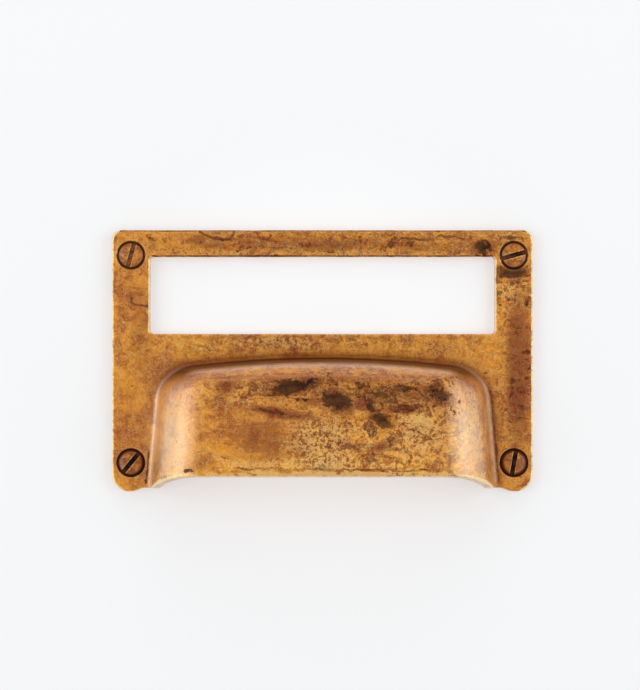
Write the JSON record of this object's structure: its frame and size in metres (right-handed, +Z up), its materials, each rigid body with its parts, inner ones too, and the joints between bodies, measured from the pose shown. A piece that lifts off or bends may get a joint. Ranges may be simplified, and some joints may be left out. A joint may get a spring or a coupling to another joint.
{
  "type": "label frame pull",
  "caption": "Cast brass drawer pull: a flat frame with a label window above an open finger cup, fixed by slotted raised-head wood screws in its corners.",
  "frame": {"origin": "midway between the four screws, on the flat back face that lies against the drawer front", "axes": "+X along the label window, to the right as seen from the front; +Y into the drawer front; +Z up, from the cup to the window"},
  "size_m": [0.1022, 0.0371, 0.0635],
  "materials": {
    "casting_brass": "aged cast brass, golden brown patina with dark brown stains, worn bright along edges",
    "screw_brass": "darkened brass, dark around the head and in the slot, worn golden on the crown"
  },
  "bodies": {
    "root": {"pull_casting": "casting_brass", "mounting_screws": "screw_brass"}
  },
  "joints": []
}
